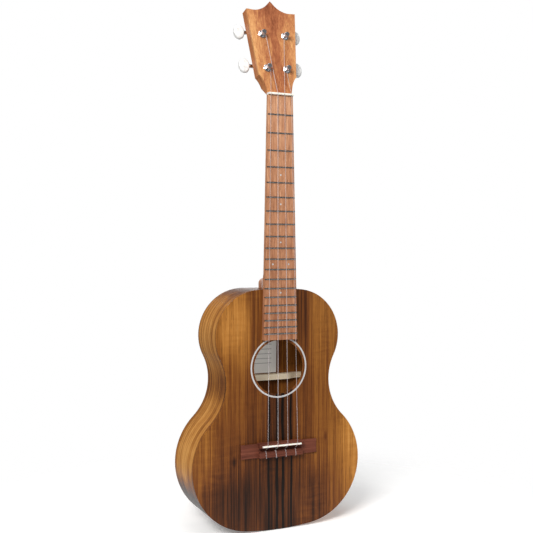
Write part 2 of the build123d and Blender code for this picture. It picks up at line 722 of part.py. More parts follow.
WORM_LINE = Plane(origin=(0, WORM_OFFSET, WORM_AXIS_N), x_dir=(0, 1, 0), z_dir=(1, 0, 0))
WORM_TURNS = 3
BUTTON_IN = BUTTON_OFFSET - BUTTON_SIZE[0] / 2
COLLAR_R = 2.6
COLLAR_L = 7.0               # of which the last part sits in the button's mouth
MOUTH_L = 1.2
SHAFT_IN_BUTTON = 9.0


def worm_rod(radius, start, end):
    """Rod on the worm's axis between two distances from the post's axis."""
    return rod(radius, (start, WORM_OFFSET, WORM_AXIS_N), (end, WORM_OFFSET, WORM_AXIS_N))


def collar(side):
    return worm_rod(COLLAR_R, side * (BUTTON_IN + MOUTH_L - COLLAR_L), side * (BUTTON_IN + MOUTH_L))


def worm_shaft(side):
    """Right-hand worm between the ears, and the shaft that runs out to the button."""
    length = WORM_TURNS * WORM_PITCH
    path = Helix(WORM_PITCH, length, WORM_CORE_R, center=(0, 0, -length / 2))
    across = Plane(origin=(WORM_CORE_R, 0, -length / 2), x_dir=(1, 0, 0), z_dir=path % 0)
    ridge = make_face(Polyline((-0.35, -0.78), (WORM_TIP_R - WORM_CORE_R, -0.32),
                               (WORM_TIP_R - WORM_CORE_R, 0.32), (-0.35, 0.78), close=True))
    thread = sweep(across * ridge, path=path, is_frenet=True)
    core = Cylinder(WORM_CORE_R, 2 * EAR_IN - 0.3)
    worm = WORM_LINE * (core + thread)
    stub = EAR_IN + EAR_T + 0.4
    return worm + worm_rod(WORM_JOURNAL_R, -side * stub, side * (BUTTON_IN + SHAFT_IN_BUTTON)) + collar(side)


def button(side):
    """Oval button with softened rims, bored for its shaft."""
    width, height, thickness = BUTTON_SIZE
    oval = extrude(Ellipse(width / 2, height / 2), amount=thickness / 2, both=True)
    oval = fillet(oval.edges(), 2.6)
    body = Pos(side * BUTTON_OFFSET, WORM_OFFSET, WORM_AXIS_N) * oval
    bore = worm_rod(WORM_JOURNAL_R, side * (BUTTON_IN - 1), side * (BUTTON_IN + SHAFT_IN_BUTTON))
    return body - bore - collar(side)


def winding(name):
    """The turns of string wound on the post, above the turn where the string arrives."""
    diameter = STRINGS[name][4]
    pitch = diameter + 0.05
    height = 2 * pitch
    start = STRING_ARRIVAL + diameter + 0.1
    coil = POST_WAIST_R + diameter / 2 + 0.02
    path = Helix(pitch, height, coil, center=(0, 0, start))
    section = Plane(origin=path @ 0, z_dir=path % 0) * Circle(diameter / 2)
    return sweep(section, path=path, is_frenet=True)


# ---- write every node ----

def save_body():
    save("soundboard", soundboard())
    save("soundhole_ring", soundhole_ring())
    save("back", back())
    for name, side in (("bass", -1), ("treble", 1)):
        save(f"side_{name}", rib(side))
        save(f"top_lining_{name}", lining(side, False))
        save(f"back_lining_{name}", lining(side, True))
    save("neck_block", neck_block())
    save("tail_block", tail_block())
    save("upper_top_brace", top_brace(-285.4, 74.0))
    save("lower_top_brace", top_brace(-380.4, 65.5))
    save("fan_braces", *fan_braces())
    save("bridge_plate", bridge_plate())
    save("upper_back_brace", back_brace(-290.4, 74.0))
    save("middle_back_brace", back_brace(-358.7, 61.0))
    save("lower_back_brace", back_brace(-463.4, 106.5))
    save("label", label())


def save_neck():
    save("neck", neck())
    save("headplate", headplate())
    save("fretboard", fretboard())
    save("frets", *[fret(number) for number in range(1, FRET_COUNT + 1)])
    save("nut", nut())
    save("position_dots", *position_dots())
    save("side_dots", *side_dots())
    save("bridge", bridge())
    save("saddle", saddle())


def save_machines():
    places = {name: (side, machine_place(x, s)) for name, side, x, s in post_places()}
    save("post_bushings", *[place * bushing() for _side, place in places.values()])
    save("tuner_plates", *[place * machine_plate() for _side, place in places.values()])
    save("plate_screws", *[place * screw for _side, place in places.values() for screw in plate_screws()])
    for name, (side, place) in places.items():
        save(f"string_{name}", string(name))
        save(f"post_{name}", place * post())
        save(f"gear_{name}", place * gear())
        save(f"gear_screw_{name}", place * gear_screw())
        save(f"winding_{name}", place * winding(name))
        save(f"worm_shaft_{name}", place * worm_shaft(side))
        save(f"button_{name}", place * button(side))


save_body()
save_neck()
save_machines()
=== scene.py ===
"""Tenor ukulele: finishes, softened edges and pillow-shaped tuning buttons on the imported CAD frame."""
import json
from math import cos, pi, radians, sin

import bmesh
import bpy
from mathutils import Matrix, Vector


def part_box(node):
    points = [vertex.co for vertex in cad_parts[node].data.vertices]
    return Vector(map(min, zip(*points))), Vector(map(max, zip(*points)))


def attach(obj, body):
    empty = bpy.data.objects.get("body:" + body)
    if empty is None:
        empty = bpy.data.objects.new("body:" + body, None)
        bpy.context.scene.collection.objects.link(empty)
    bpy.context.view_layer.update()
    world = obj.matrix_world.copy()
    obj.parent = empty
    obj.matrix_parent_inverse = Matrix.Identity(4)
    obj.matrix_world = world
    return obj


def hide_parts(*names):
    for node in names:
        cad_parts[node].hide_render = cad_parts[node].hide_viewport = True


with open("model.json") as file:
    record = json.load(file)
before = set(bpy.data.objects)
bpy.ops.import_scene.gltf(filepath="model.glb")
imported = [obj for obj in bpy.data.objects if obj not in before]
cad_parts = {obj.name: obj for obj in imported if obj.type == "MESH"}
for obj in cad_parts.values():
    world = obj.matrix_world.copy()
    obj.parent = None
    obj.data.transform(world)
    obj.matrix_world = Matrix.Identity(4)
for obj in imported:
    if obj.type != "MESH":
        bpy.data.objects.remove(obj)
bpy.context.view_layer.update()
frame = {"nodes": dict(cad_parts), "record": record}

MM = 0.001
STRINGS = ("g", "c", "e", "a")
SEAM_X = 1.6 * MM            # centre seam of the bookmatched plates
PLATE_JOINT_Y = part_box("soundboard")[1].y
HOLE_Z = sum(corner.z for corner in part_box("soundhole_ring")) / 2

scene = bpy.context.scene


# ---------------------------------------------------------------- shader helpers

# the Mix node's sockets in its colour mode
MIX_FACTOR, MIX_A, MIX_B, MIX_RESULT = 0, 6, 7, 2


class Shader:
    """A material under construction, with short calls for the nodes used here."""

    def __init__(self, name):
        self.material = bpy.data.materials.new(name)
        self.material.use_nodes = True
        self.tree = self.material.node_tree
        self.bsdf = self.tree.nodes["Principled BSDF"]
        self.coords = self.tree.nodes.new("ShaderNodeTexCoord").outputs["Object"]
        self.axes = self.node("ShaderNodeSeparateXYZ", {0: self.coords}).outputs

    def node(self, kind, inputs=None, **settings):
        made = self.tree.nodes.new(kind)
        for key, value in settings.items():
            setattr(made, key, value)
        for key, value in (inputs or {}).items():
            self.feed(made.inputs[key], value)
        return made

    def feed(self, socket, value):
        if isinstance(value, bpy.types.NodeSocket):
            self.tree.links.new(value, socket)
        else:
            socket.default_value = value

    def math(self, operation, a, b=0.0):
        return self.node("ShaderNodeMath", {0: a, 1: b}, operation=operation).outputs[0]

    def vector(self, x, y, z):
        return self.node("ShaderNodeCombineXYZ", {0: x, 1: y, 2: z}).outputs[0]

    def length(self, vector):
        return self.node("ShaderNodeVectorMath", {0: vector}, operation="LENGTH").outputs["Value"]

    def stretched(self, scale, source=None):
        """Coordinates times a scale on each axis: a large scale packs the pattern tightly."""
        inputs = {0: source or self.coords, 1: scale}
        return self.node("ShaderNodeVectorMath", inputs, operation="MULTIPLY").outputs[0]

    def noise(self, vector, detail=3.0, rough=0.55, warp=0.0):
        inputs = {"Vector": vector, "Scale": 1.0, "Detail": detail, "Roughness": rough,
                  "Distortion": warp}
        return self.node("ShaderNodeTexNoise", inputs).outputs["Fac"]

    def span(self, value, low, high, to_low=0.0, to_high=1.0, smooth=False):
        """A value's way from low to high, carried over to the range from to_low to to_high."""
        kind = "SMOOTHSTEP" if smooth else "LINEAR"
        inputs = {0: value, 1: low, 2: high, 3: to_low, 4: to_high}
        return self.node("ShaderNodeMapRange", inputs, interpolation_type=kind).outputs[0]

    def ramp(self, value, stops):
        made = self.node("ShaderNodeValToRGB", {0: value})
        elements = made.color_ramp.elements
        while len(elements) < len(stops):
            elements.new(0.5)
        for element, (place, colour) in zip(elements, stops):
            element.position = place
            element.color = (*colour, 1.0)
        return made.outputs[0]

    def mix(self, factor, a, b):
        made = self.node("ShaderNodeMix", data_type="RGBA")
        for index, value in ((MIX_FACTOR, factor), (MIX_A, a), (MIX_B, b)):
            if isinstance(value, tuple):
                value = (*value, 1.0)
            self.feed(made.inputs[index], value)
        return made.outputs[MIX_RESULT]

    def bump(self, height, strength, distance=0.2 * MM):
        made = self.node("ShaderNodeBump", {"Strength": strength, "Distance": distance, "Height": height})
        return made.outputs["Normal"]

    def finish(self, **values):
        """Sets the shader's sockets, named with underscores for spaces, and hands over the material."""
        for key, value in values.items():
            self.feed(self.bsdf.inputs[key.replace("_", " ")], value)
        return self.material


def gain(shader, value, amount):
    """Turns a 0 to 1 pattern into a signed one of this size."""
    return shader.math("MULTIPLY", shader.math("SUBTRACT", value, 0.5), amount)


def total(shader, *values):
    result = values[0]
    for value in values[1:]:
        result = shader.math("ADD", result, value)
    return result


# ---------------------------------------------------------------- woods

# Scales are pattern features per metre on each axis. Amounts move a value along a 0 to 1 colour ramp.

# koa from its darkest heartwood streak to its palest gold
KOA = [
    (0.00, (0.010, 0.004, 0.002)), (0.15, (0.030, 0.010, 0.004)), (0.30, (0.075, 0.022, 0.006)),
    (0.46, (0.150, 0.047, 0.010)), (0.62, (0.260, 0.098, 0.018)), (0.80, (0.410, 0.168, 0.033)),
    (1.00, (0.590, 0.290, 0.078)),
]

PORE_COLOUR = (0.02, 0.008, 0.004)
PORE_DEPTH = 0.55
WOOD_SHEEN = 0.14            # specular level of a thin satin finish


def wood_finish(shader, colour, fibre, pores, rough, relief=0.18, coat=0.04):
    """Satin lacquer over open pores: colour, then roughness and relief from the same fibres."""
    dark = shader.mix(shader.math("MULTIPLY", pores, PORE_DEPTH), colour, PORE_COLOUR)
    height = shader.math("SUBTRACT", fibre, pores)
    return shader.finish(
        Base_Color=dark,
        Roughness=shader.span(fibre, 0.25, 0.75, rough + 0.06, rough - 0.06),
        Specular_IOR_Level=WOOD_SHEEN,
        Coat_Weight=coat,
        Coat_Roughness=0.28,
        Normal=shader.bump(height, relief),
    )


def pore_lines(shader, lines, groups, source=None):
    """Short dark open pores that run with the grain, where patterns of these two scales overlap."""
    group = shader.noise(shader.stretched(groups, source), 2.0, 0.6)
    line = shader.noise(shader.stretched(lines, source), 1.0, 0.4)
    return shader.math("MULTIPLY", shader.span(line, 0.60, 0.72), shader.span(group, 0.48, 0.60))


def tone_and_painted_light(shader, places):
    """Soft lighter and darker areas, partly the wood's own tone and partly painted light and shade, each
    given as x, z, reach across, reach along (mm) and amount.
    """
    tone = 0.0
    x, _y, z = shader.axes
    flat = shader.vector(x, 0.0, z)
    ragged = gain(shader, shader.noise(shader.stretched((90.0, 90.0, 14.0)), 3.0), 0.7)
    for px, pz, across, along, amount in places:
        scaled = shader.node("ShaderNodeVectorMath", {
            0: flat, 1: (1 / (MM * across), 1.0, 1 / (MM * along)), 2: (-px / across, 0.0, -pz / along),
        }, operation="MULTIPLY_ADD").outputs[0]
        away = shader.math("ADD", shader.length(scaled), ragged)
        tone = shader.math("ADD", tone, shader.span(away, 0.15, 1.0, amount, 0.0, smooth=True))
    return tone


# lightness from the seam outward on the bass and the treble side, as (millimetres, lightness)
BASS_TONE = [(0, 0.24), (14, 0.28), (26, 0.40), (45, 0.46), (75, 0.50), (100, 0.55), (116, 0.60)]
TREBLE_TONE = [(0, 0.24), (16, 0.30), (30, 0.42), (50, 0.50), (78, 0.54), (98, 0.62), (116, 0.74)]
TONE_REACH = 120.0           # millimetres from the seam to the end of both curves' ramps


def tone_curve(shader, distance, points):
    """Lightness through these points along a distance."""
    stops = [(place / TONE_REACH, (tone, tone, tone)) for place, tone in points]
    return shader.ramp(shader.math("DIVIDE", distance, TONE_REACH * MM), stops)


GLUE_LINE_COLOUR = (0.02, 0.01, 0.006)


def koa_plate(name, streaks, places, lighter):
    """Bookmatched plate: both halves mirror one board, with a glue line between them."""
    shader = Shader(name)
    x, y, z = shader.axes
    offset = shader.math("SUBTRACT", x, SEAM_X)
    mirrored = shader.math("ABSOLUTE", offset)
    leaf = shader.vector(mirrored, y, z)
    bass = tone_curve(shader, mirrored, BASS_TONE)
    treble = tone_curve(shader, mirrored, TREBLE_TONE)
    tone = shader.mix(shader.span(offset, -4 * MM, 4 * MM), bass, treble)
    broad = shader.noise(shader.stretched((110.0, 110.0, 2.4), leaf), 4.0, 0.6, 0.4)
    bands = shader.noise(shader.stretched((430.0, 430.0, 5.0), leaf), 3.0, 0.65, 0.3)
    fibre = shader.noise(shader.stretched((950.0, 950.0, 15.0), leaf), 4.0, 0.7)
    patch = shader.span(shader.noise(shader.stretched((16.0, 16.0, 9.0)), 2.0), 0.45, 0.68)
    curl = shader.noise(shader.stretched((34.0, 34.0, 150.0), leaf), 2.0, 0.5, 0.8)
    # the soundboard's listed areas include painted light, lighter at the upper bout and darker at the
    # lower bout
    value = total(
        shader, tone, gain(shader, broad, 0.50), gain(shader, bands, 0.58), gain(shader, fibre, 0.60),
        shader.math("MULTIPLY", gain(shader, curl, 0.30), patch), lighter, tone_and_painted_light(shader, places),
    )
    colour = shader.ramp(value, KOA)
    if streaks:
        colour = koa_streaks(shader, colour, mirrored, z)
    seam = shader.span(mirrored, 0.0, 0.4 * MM, 0.45, 0.0)
    colour = shader.mix(seam, colour, GLUE_LINE_COLOUR)
    pores = pore_lines(shader, (1500.0, 1500.0, 24.0), (300.0, 300.0, 90.0), leaf)
    return wood_finish(shader, colour, fibre, pores, 0.40)


# heartwood streaks on both sides of the seam: distance and half width in mm, strength
STREAKS = [(3.8, 1.7, 1.0), (15.4, 1.35, 1.0), (9.6, 0.6, 0.45), (27.0, 0.8, 0.35)]
STREAK_COLOUR = (0.006, 0.003, 0.002)


def koa_streaks(shader, colour, mirrored, z):
    """Near-black lines from the soundhole down, which wander together and vary in width."""
    wander = shader.noise(shader.vector(0.0, 0.0, shader.math("MULTIPLY", z, 14.0)), 1.0)
    shift = gain(shader, wander, 4.2 * MM)
    below = shader.span(z, HOLE_Z - 20 * MM, HOLE_Z - 34 * MM)
    rough_edge = gain(shader, shader.noise(shader.stretched((900.0, 0.0, 30.0)), 3.0), 1.1 * MM)
    width_noise = shader.noise(shader.vector(0.0, 3.0, shader.math("MULTIPLY", z, 24.0)), 2.0)
    for distance, half, strength in STREAKS:
        away = shader.math("SUBTRACT", shader.math("ADD", mirrored, shift), distance * MM)
        away = shader.math("ABSOLUTE", shader.math("ADD", away, rough_edge))
        reach = shader.span(width_noise, 0.3, 0.7, half * 0.75 * MM, half * 1.3 * MM)
        edge = shader.math("DIVIDE", away, reach)
        mask = shader.math("MULTIPLY", shader.span(edge, 0.75, 1.35, strength, 0.0, smooth=True), below)
        colour = shader.mix(mask, colour, STREAK_COLOUR)
    return colour


# lighter and darker areas of the plates and ribs, each given as x, z, reach across, reach along (mm) and
# amount
# soundboard: the first two areas are painted light, the upper bout lighter and the lower bout darker as
# the key light falls off down the body
TOP_TONE_AND_LIGHT = [
    (0.0, -285.0, 150.0, 95.0, 0.11), (-50.0, -520.0, 150.0, 150.0, -0.19),
    (60.0, -515.0, 60.0, 65.0, -0.13), (-62.0, -285.0, 42.0, 60.0, 0.20),
    (-30.0, -290.0, 10.0, 60.0, -0.12), (34.0, -270.0, 11.0, 80.0, -0.20),
    (70.0, -300.0, 40.0, 60.0, -0.02), (-95.0, -450.0, 35.0, 60.0, 0.05),
    (100.0, -430.0, 34.0, 70.0, 0.14), (95.0, -500.0, 34.0, 40.0, 0.08),
    (-62.0, -505.0, 55.0, 50.0, -0.12), (-60.0, -452.0, 4.0, 10.0, -0.20),
    (66.0, -430.0, 3.5, 9.0, -0.16), (4.0, -490.0, 30.0, 90.0, 0.13),
]
BACK_PLACES = [(0.0, -400.0, 60.0, 90.0, 0.10)]
# rib: all painted light and shade, darker at the shoulder beside the neck, at the waist and along the
# bottom, darkest at the bottom left, and lighter where the upper and lower bouts face the key light
RIB_LIGHT_AND_SHADE = [
    (-25.0, -242.0, 60.0, 26.0, -0.42), (-84.0, -300.0, 40.0, 45.0, 0.10),
    (-66.0, -362.0, 30.0, 30.0, -0.22), (-112.0, -455.0, 50.0, 65.0, 0.18),
    (-88.0, -515.0, 75.0, 62.0, -0.85), (0.0, -545.0, 60.0, 30.0, -0.30),
]


def koa_rib():
    """Bent side: the grain follows the rim, so it varies across the depth and slowly along the rim;
    painted light and shade lie over it.
    """
    shader = Shader("koa_rib")
    broad = shader.noise(shader.stretched((5.0, 90.0, 5.0)), 4.0, 0.6, 0.5)
    bands = shader.noise(shader.stretched((5.0, 300.0, 5.0)), 3.0, 0.6, 0.3)
    fibre = shader.noise(shader.stretched((18.0, 900.0, 18.0)), 4.0, 0.7)
    curl = shader.noise(shader.stretched((120.0, 26.0, 120.0)), 2.0, 0.5, 0.6)
    _x, y, _z = shader.axes
    joint = shader.span(y, PLATE_JOINT_Y, PLATE_JOINT_Y + 3 * MM, -0.34, 0.0, smooth=True)
    # the rib's painted light and shade, added to the darker band along the plate joint
    tone = shader.math("ADD", tone_and_painted_light(shader, RIB_LIGHT_AND_SHADE), joint)
    value = total(shader, 0.74, tone, gain(shader, broad, 0.80), gain(shader, bands, 1.10),
                  gain(shader, fibre, 0.60), gain(shader, curl, 0.10))
    colour = shader.ramp(value, KOA)
    pores = pore_lines(shader, (40.0, 1500.0, 40.0), (90.0, 300.0, 90.0))
    return wood_finish(shader, colour, fibre, pores, 0.38)


# scales of a straight-grained wood's broad pattern, fine pattern, pore lines and pore groups
ALONG_NECK = (
    (110.0, 110.0, 3.0), (900.0, 900.0, 14.0), (1500.0, 1500.0, 22.0), (375.0, 375.0, 88.0),
)
ACROSS_BODY = (
    (3.0, 160.0, 160.0), (14.0, 900.0, 900.0), (24.0, 1500.0, 1500.0), (96.0, 375.0, 375.0),
)
ACROSS_BRACE = (
    (3.0, 260.0, 260.0), (14.0, 1200.0, 1200.0), (24.0, 1500.0, 1500.0), (96.0, 375.0, 375.0),
)


def plain_wood(name, stops, grain, rough, coat, contrast, tone, relief=0.2):
    """Straight-grained wood, with its four scales in grain."""
    broad_scale, fine_scale, line_scale, group_scale = grain
    shader = Shader(name)
    broad = shader.noise(shader.stretched(broad_scale), 4.0, 0.6, 0.5)
    fibre = shader.noise(shader.stretched(fine_scale), 4.0, 0.65)
    value = total(shader, tone, gain(shader, broad, contrast), gain(shader, fibre, contrast * 0.7))
    pores = pore_lines(shader, line_scale, group_scale)
    return wood_finish(shader, shader.ramp(value, stops), fibre, pores, rough, relief, coat)


HEADPLATE_STOPS = [(0.0, (0.16, 0.042, 0.018)), (0.4, (0.34, 0.115, 0.048)), (0.7, (0.50, 0.22, 0.085)),
                   (1.0, (0.66, 0.35, 0.14))]
NECK_STOPS = [(0.0, (0.13, 0.035, 0.014)), (0.45, (0.36, 0.125, 0.050)), (0.75, (0.52, 0.215, 0.085)),
              (1.0, (0.70, 0.36, 0.16))]
BOARD_STOPS = [(0.0, (0.070, 0.022, 0.011)), (0.4, (0.27, 0.105, 0.050)), (0.75, (0.48, 0.225, 0.120)),
               (1.0, (0.68, 0.38, 0.22))]
BRIDGE_STOPS = [(0.0, (0.022, 0.007, 0.005)), (0.4, (0.080, 0.022, 0.013)), (0.75, (0.175, 0.052, 0.030)),
                (1.0, (0.31, 0.12, 0.070))]
SPRUCE_STOPS = [(0.0, (0.62, 0.48, 0.31)), (0.5, (0.78, 0.66, 0.48)), (1.0, (0.88, 0.80, 0.64))]
BLOCK_STOPS = [(0.0, (0.16, 0.06, 0.03)), (0.5, (0.30, 0.13, 0.065)), (1.0, (0.42, 0.21, 0.11))]


def headplate_finish():
    """Face veneer: reddish in the middle, golden towards the edges."""
    shader = Shader("headplate_wood")
    x, _y, z = shader.axes
    out = shader.math("ABSOLUTE", x)
    broad = shader.noise(shader.stretched((150.0, 150.0, 6.0)), 4.0, 0.6, 0.6)
    fibre = shader.noise(shader.stretched((600.0, 600.0, 16.0)), 4.0, 0.7)
    across = shader.span(out, 2 * MM, 30 * MM, 0.40, 0.84)
    along = shader.span(z, 70 * MM, 120 * MM, 0.0, -0.26)
    value = total(shader, across, along, gain(shader, broad, 1.10), gain(shader, fibre, 1.00))
    pores = pore_lines(shader, (1300.0, 1300.0, 40.0), (340.0, 340.0, 110.0))
    return wood_finish(shader, shader.ramp(value, HEADPLATE_STOPS), fibre, pores, 0.42)


def board_finish():
    """Open-pored board, paler towards the nut."""
    shader = Shader("fretboard_wood")
    _x, _y, z = shader.axes
    broad = shader.noise(shader.stretched((170.0, 170.0, 4.0)), 4.0, 0.6, 0.5)
    fibre = shader.noise(shader.stretched((460.0, 460.0, 34.0)), 4.0, 0.75)
    value = total(shader, shader.span(z, -300 * MM, 0.0, 0.56, 0.80), gain(shader, broad, 0.60),
                  gain(shader, fibre, 1.35))
    pores = pore_lines(shader, (1100.0, 1100.0, 70.0), (260.0, 260.0, 150.0))
    return wood_finish(shader, shader.ramp(value, BOARD_STOPS), fibre, pores, 0.52, 0.35, 0.0)


# ---------------------------------------------------------------- other finishes

def metal(name, colour, rough, marks=0.05):
    """Plated metal: faint polishing marks and a slightly uneven sheen."""
    shader = Shader(name)
    haze = shader.noise(shader.stretched((350.0, 350.0, 350.0)), 3.0)
    fine = shader.noise(shader.stretched((2600.0, 2600.0, 400.0)), 2.0)
    tint = shader.mix(shader.math("MULTIPLY", haze, 0.35), colour, tuple(0.80 * c for c in colour))
    return shader.finish(
        Base_Color=tint,
        Metallic=1.0,
        Roughness=shader.span(haze, 0.3, 0.7, rough, rough + 0.09),
        Normal=shader.bump(fine, marks, 0.05 * MM),
    )


def bone(name, pale, warm):
    """Polished bone: soft clouds and fine darker flecks."""
    shader = Shader(name)
    cloud = shader.noise(shader.stretched((90.0, 220.0, 220.0)), 4.0)
    fine = shader.noise(shader.stretched((260.0, 1600.0, 1600.0)), 2.0)
    flecks = shader.span(fine, 0.60, 0.74, 0.0, 0.35)
    colour = shader.mix(shader.span(cloud, 0.3, 0.7), pale, warm)
    return shader.finish(
        Base_Color=shader.mix(flecks, colour, tuple(0.82 * c for c in warm)),
        Roughness=shader.span(cloud, 0.3, 0.7, 0.24, 0.36),
        Subsurface_Weight=0.08,
        Subsurface_Scale=2 * MM,
        Normal=shader.bump(flecks, 0.1),
    )


PEARL_STOPS = [(0.0, (0.82, 0.82, 0.81)), (0.5, (0.72, 0.72, 0.71)), (1.0, (0.54, 0.54, 0.53))]


def pearl():
    """Pearloid: pale flakes with soft milky edges under a clear surface, and a faint painted glow."""
    shader = Shader("pearloid")
    warped = shader.node("ShaderNodeVectorMath", {
        0: shader.stretched((230.0, 230.0, 230.0)),
        1: shader.node("ShaderNodeTexNoise", {"Vector": shader.coords, "Scale": 300.0}).outputs["Color"],
    }, operation="ADD").outputs[0]
    flakes = shader.node("ShaderNodeTexVoronoi", {"Vector": warped, "Scale": 1.0}).outputs["Distance"]
    cloud = shader.noise(shader.stretched((180.0, 180.0, 180.0)), 3.0, 0.6, 1.5)
    base = shader.ramp(flakes, PEARL_STOPS)
    return shader.finish(
        Base_Color=shader.mix(shader.math("MULTIPLY", cloud, 0.5), base, (0.84, 0.84, 0.83)),
        Roughness=shader.span(cloud, 0.3, 0.7, 0.16, 0.28),
        # painted glow: the buttons give off a little light of their own, so the ones in the headstock's
        # shade stay pale
        Emission_Color=base,
        Emission_Strength=0.12,
        Coat_Weight=0.5,
        Coat_Roughness=0.05,
    )


def inlay():
    """Greyish white plastic, slightly cloudy."""
    shader = Shader("white_inlay")
    cloud = shader.noise(shader.stretched((420.0, 420.0, 420.0)), 3.0)
    return shader.finish(
        Base_Color=shader.mix(cloud, (0.42, 0.42, 0.43), (0.60, 0.60, 0.60)),
        Roughness=shader.span(cloud, 0.3, 0.7, 0.25, 0.38),
    )


def string_line():
    """Clear drawn polymer, seen as a pale grey-pink line."""
    shader = Shader("string_line")
    along = shader.noise(shader.stretched((60.0, 60.0, 25.0)), 2.0)
    return shader.finish(
        Base_Color=shader.mix(along, (0.46, 0.41, 0.43), (0.70, 0.64, 0.66)),
        Roughness=shader.span(along, 0.3, 0.7, 0.22, 0.34),
        Alpha=shader.span(along, 0.3, 0.7, 0.28, 0.42),
    )


LABEL_MARGIN = (7.1 * MM, 9.1 * MM)      # across and up
RULE_PITCH = 6.2 * MM


def paper():
    """Plain label: thin grey ruled lines with no writing, inside a blank margin."""
    shader = Shader("label_paper")
    x, _y, z = shader.axes
    low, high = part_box("label")
    fibre = shader.noise(shader.stretched((900.0, 900.0, 900.0)), 4.0, 0.7)
    tooth = shader.noise(shader.stretched((3000.0, 3000.0, 3000.0)), 2.0)
    base = shader.mix(fibre, (0.66, 0.64, 0.60), (0.78, 0.77, 0.73))
    middle, half = (low + high) / 2, (high - low) / 2
    across = shader.math("ABSOLUTE", shader.math("SUBTRACT", x, middle.x))
    up = shader.math("ABSOLUTE", shader.math("SUBTRACT", z, middle.z))
    inside = 1.0
    for away, edge in ((across, half.x - LABEL_MARGIN[0]), (up, half.z - LABEL_MARGIN[1])):
        inside = shader.math("MULTIPLY", inside, shader.span(away, edge + 0.1 * MM, edge - 0.1 * MM))
    rule = shader.math("ABSOLUTE", shader.math("SINE", shader.math("MULTIPLY", z, pi / RULE_PITCH)))
    lines = shader.math("MULTIPLY", shader.span(rule, 0.16, 0.22, 0.75, 0.0), inside)
    return shader.finish(
        Base_Color=shader.mix(lines, base, (0.16, 0.15, 0.15)),
        Roughness=shader.span(fibre, 0.3, 0.7, 0.72, 0.86),
        Normal=shader.bump(tooth, 0.25, 0.05 * MM),
    )


def build_materials():
    """One material for each material slot of the record."""
    return {
        "koa_top": koa_plate("koa_top", True, TOP_TONE_AND_LIGHT, 0.0),
        "koa_back": koa_plate("koa_back", False, BACK_PLACES, 0.02),
        "koa_side": koa_rib(),
        "neck_wood": plain_wood("neck_wood", NECK_STOPS, ALONG_NECK, 0.42, 0.05, 0.9, 0.56),
        "headplate_wood": headplate_finish(),
        "fretboard_wood": board_finish(),
        "bridge_wood": plain_wood("bridge_wood", BRIDGE_STOPS, ACROSS_BODY, 0.50, 0.0, 1.15, 0.52, 0.35),
        "spruce": plain_wood("spruce", SPRUCE_STOPS, ACROSS_BRACE, 0.66, 0.0, 0.4, 0.55),
        "lining_wood": plain_wood("lining_wood", BLOCK_STOPS, ALONG_NECK, 0.66, 0.0, 0.5, 0.5),
        "white_inlay": inlay(),
        "bone": bone("bone", (0.90, 0.88, 0.82), (0.84, 0.81, 0.72)),
        "nickel_silver": metal("nickel_silver", (0.36, 0.35, 0.34), 0.20),
        "chrome": metal("chrome", (0.80, 0.80, 0.82), 0.07),
        "nickel_plate": metal("nickel_plate", (0.66, 0.65, 0.62), 0.22, 0.12),
        "brass_gear": metal("brass_gear", (0.62, 0.46, 0.20), 0.26, 0.12),
        "pearloid": pearl(),
        "string": string_line(),
        "paper": paper(),
    }


MATERIALS = build_materials()


def dress(obj, slot_name):
    """Gives an object its slot's material alone."""
    obj.data.materials.clear()
    obj.data.materials.append(MATERIALS[slot_name])


SLOTS = {part["node"]: part["material_slot"] for part in frame["record"]["subparts"]}
for node_name, node in frame["nodes"].items():
    dress(node, SLOTS[node_name])


# ---------------------------------------------------------------- softened CAD edges

EDGE_RADIUS = {               # millimetres
    "soundboard": 0.9, "back": 0.9, "fretboard": 0.35, "bridge": 0.5, "nut": 0.3, "saddle": 0.3,
    "tuner_plates": 0.15,
}
WELD_DISTANCE = 0.002 * MM
SHARP_ANGLE = radians(38)


def soften(node_name, radius):
    """Round a CAD node's sharp edges for the light to catch, without moving the part."""
    obj = frame["nodes"][node_name]
    weld = obj.modifiers.new("weld", "WELD")
    weld.merge_threshold = WELD_DISTANCE
    bevel = obj.modifiers.new("round_edges", "BEVEL")
    bevel.width = radius * MM
    bevel.segments = 2
    bevel.limit_method = "ANGLE"
    bevel.angle_limit = SHARP_ANGLE
    bevel.use_clamp_overlap = True


for node_name, radius in EDGE_RADIUS.items():
    soften(node_name, radius)


# ---------------------------------------------------------------- tuning buttons

BUTTON_HALF_HEIGHT = 9.8 * MM
BUTTON_HALF_T = 3.5 * MM
BUTTON_TILT = radians(-14.0)             # the headstock's lean
BUTTON_SQUARENESS = 0.34                 # below 1 the rim is fuller than a ball's
BUTTON_DISH = 0.30 * MM
DISH_FROM = 0.9                          # part of the half thickness where the dished face begins
BUTTON_STEPS, BUTTON_AROUND = 20, 64


